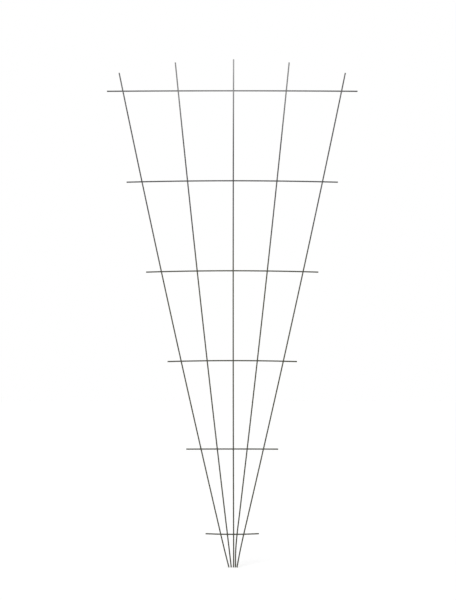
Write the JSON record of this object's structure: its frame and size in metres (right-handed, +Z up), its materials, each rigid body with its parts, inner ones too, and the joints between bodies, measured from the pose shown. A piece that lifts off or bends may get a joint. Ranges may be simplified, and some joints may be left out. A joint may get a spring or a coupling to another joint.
{
  "type": "fan trellis",
  "caption": "Flat fan-shaped plant trellis of welded round steel wire, with upright rods spreading from a narrow foot and straight crossbars behind them.",
  "frame": {"origin": "middle of the centre rod's cut foot", "axes": "+Z up along the centre rod, -Y the front, +Y the back where the crossbars lie, +X to the right seen from the front"},
  "size_m": [0.7418, 0.0083, 1.5025],
  "materials": {
    "rod_coat": "satin dark grey powder coat on round steel wire",
    "crossbar_coat": "satin dark grey powder coat on round steel wire",
    "weld_coat": "satin dark grey powder coat run over a spot weld"
  },
  "bodies": {
    "root": {"upright_left_outer": "rod_coat", "upright_left_inner": "rod_coat", "upright_centre": "rod_coat", "upright_right_inner": "rod_coat", "upright_right_outer": "rod_coat", "crossbar_1_top": "crossbar_coat", "crossbar_2": "crossbar_coat", "crossbar_3": "crossbar_coat", "crossbar_4": "crossbar_coat", "crossbar_5": "crossbar_coat", "crossbar_6_bottom": "crossbar_coat", "weld_row1_left_outer": "weld_coat", "weld_row1_left_inner": "weld_coat", "weld_row1_centre": "weld_coat", "weld_row1_right_inner": "weld_coat", "weld_row1_right_outer": "weld_coat", "weld_row2_left_outer": "weld_coat", "weld_row2_left_inner": "weld_coat", "weld_row2_centre": "weld_coat", "weld_row2_right_inner": "weld_coat", "weld_row2_right_outer": "weld_coat", "weld_row3_left_outer": "weld_coat", "weld_row3_left_inner": "weld_coat", "weld_row3_centre": "weld_coat", "weld_row3_right_inner": "weld_coat", "weld_row3_right_outer": "weld_coat", "weld_row4_left_outer": "weld_coat", "weld_row4_left_inner": "weld_coat", "weld_row4_centre": "weld_coat", "weld_row4_right_inner": "weld_coat", "weld_row4_right_outer": "weld_coat", "weld_row5_left_outer": "weld_coat", "weld_row5_left_inner": "weld_coat", "weld_row5_centre": "weld_coat", "weld_row5_right_inner": "weld_coat", "weld_row5_right_outer": "weld_coat", "weld_row6_left_outer": "weld_coat", "weld_row6_left_inner": "weld_coat", "weld_row6_centre": "weld_coat", "weld_row6_right_inner": "weld_coat", "weld_row6_right_outer": "weld_coat"}
  },
  "joints": []
}
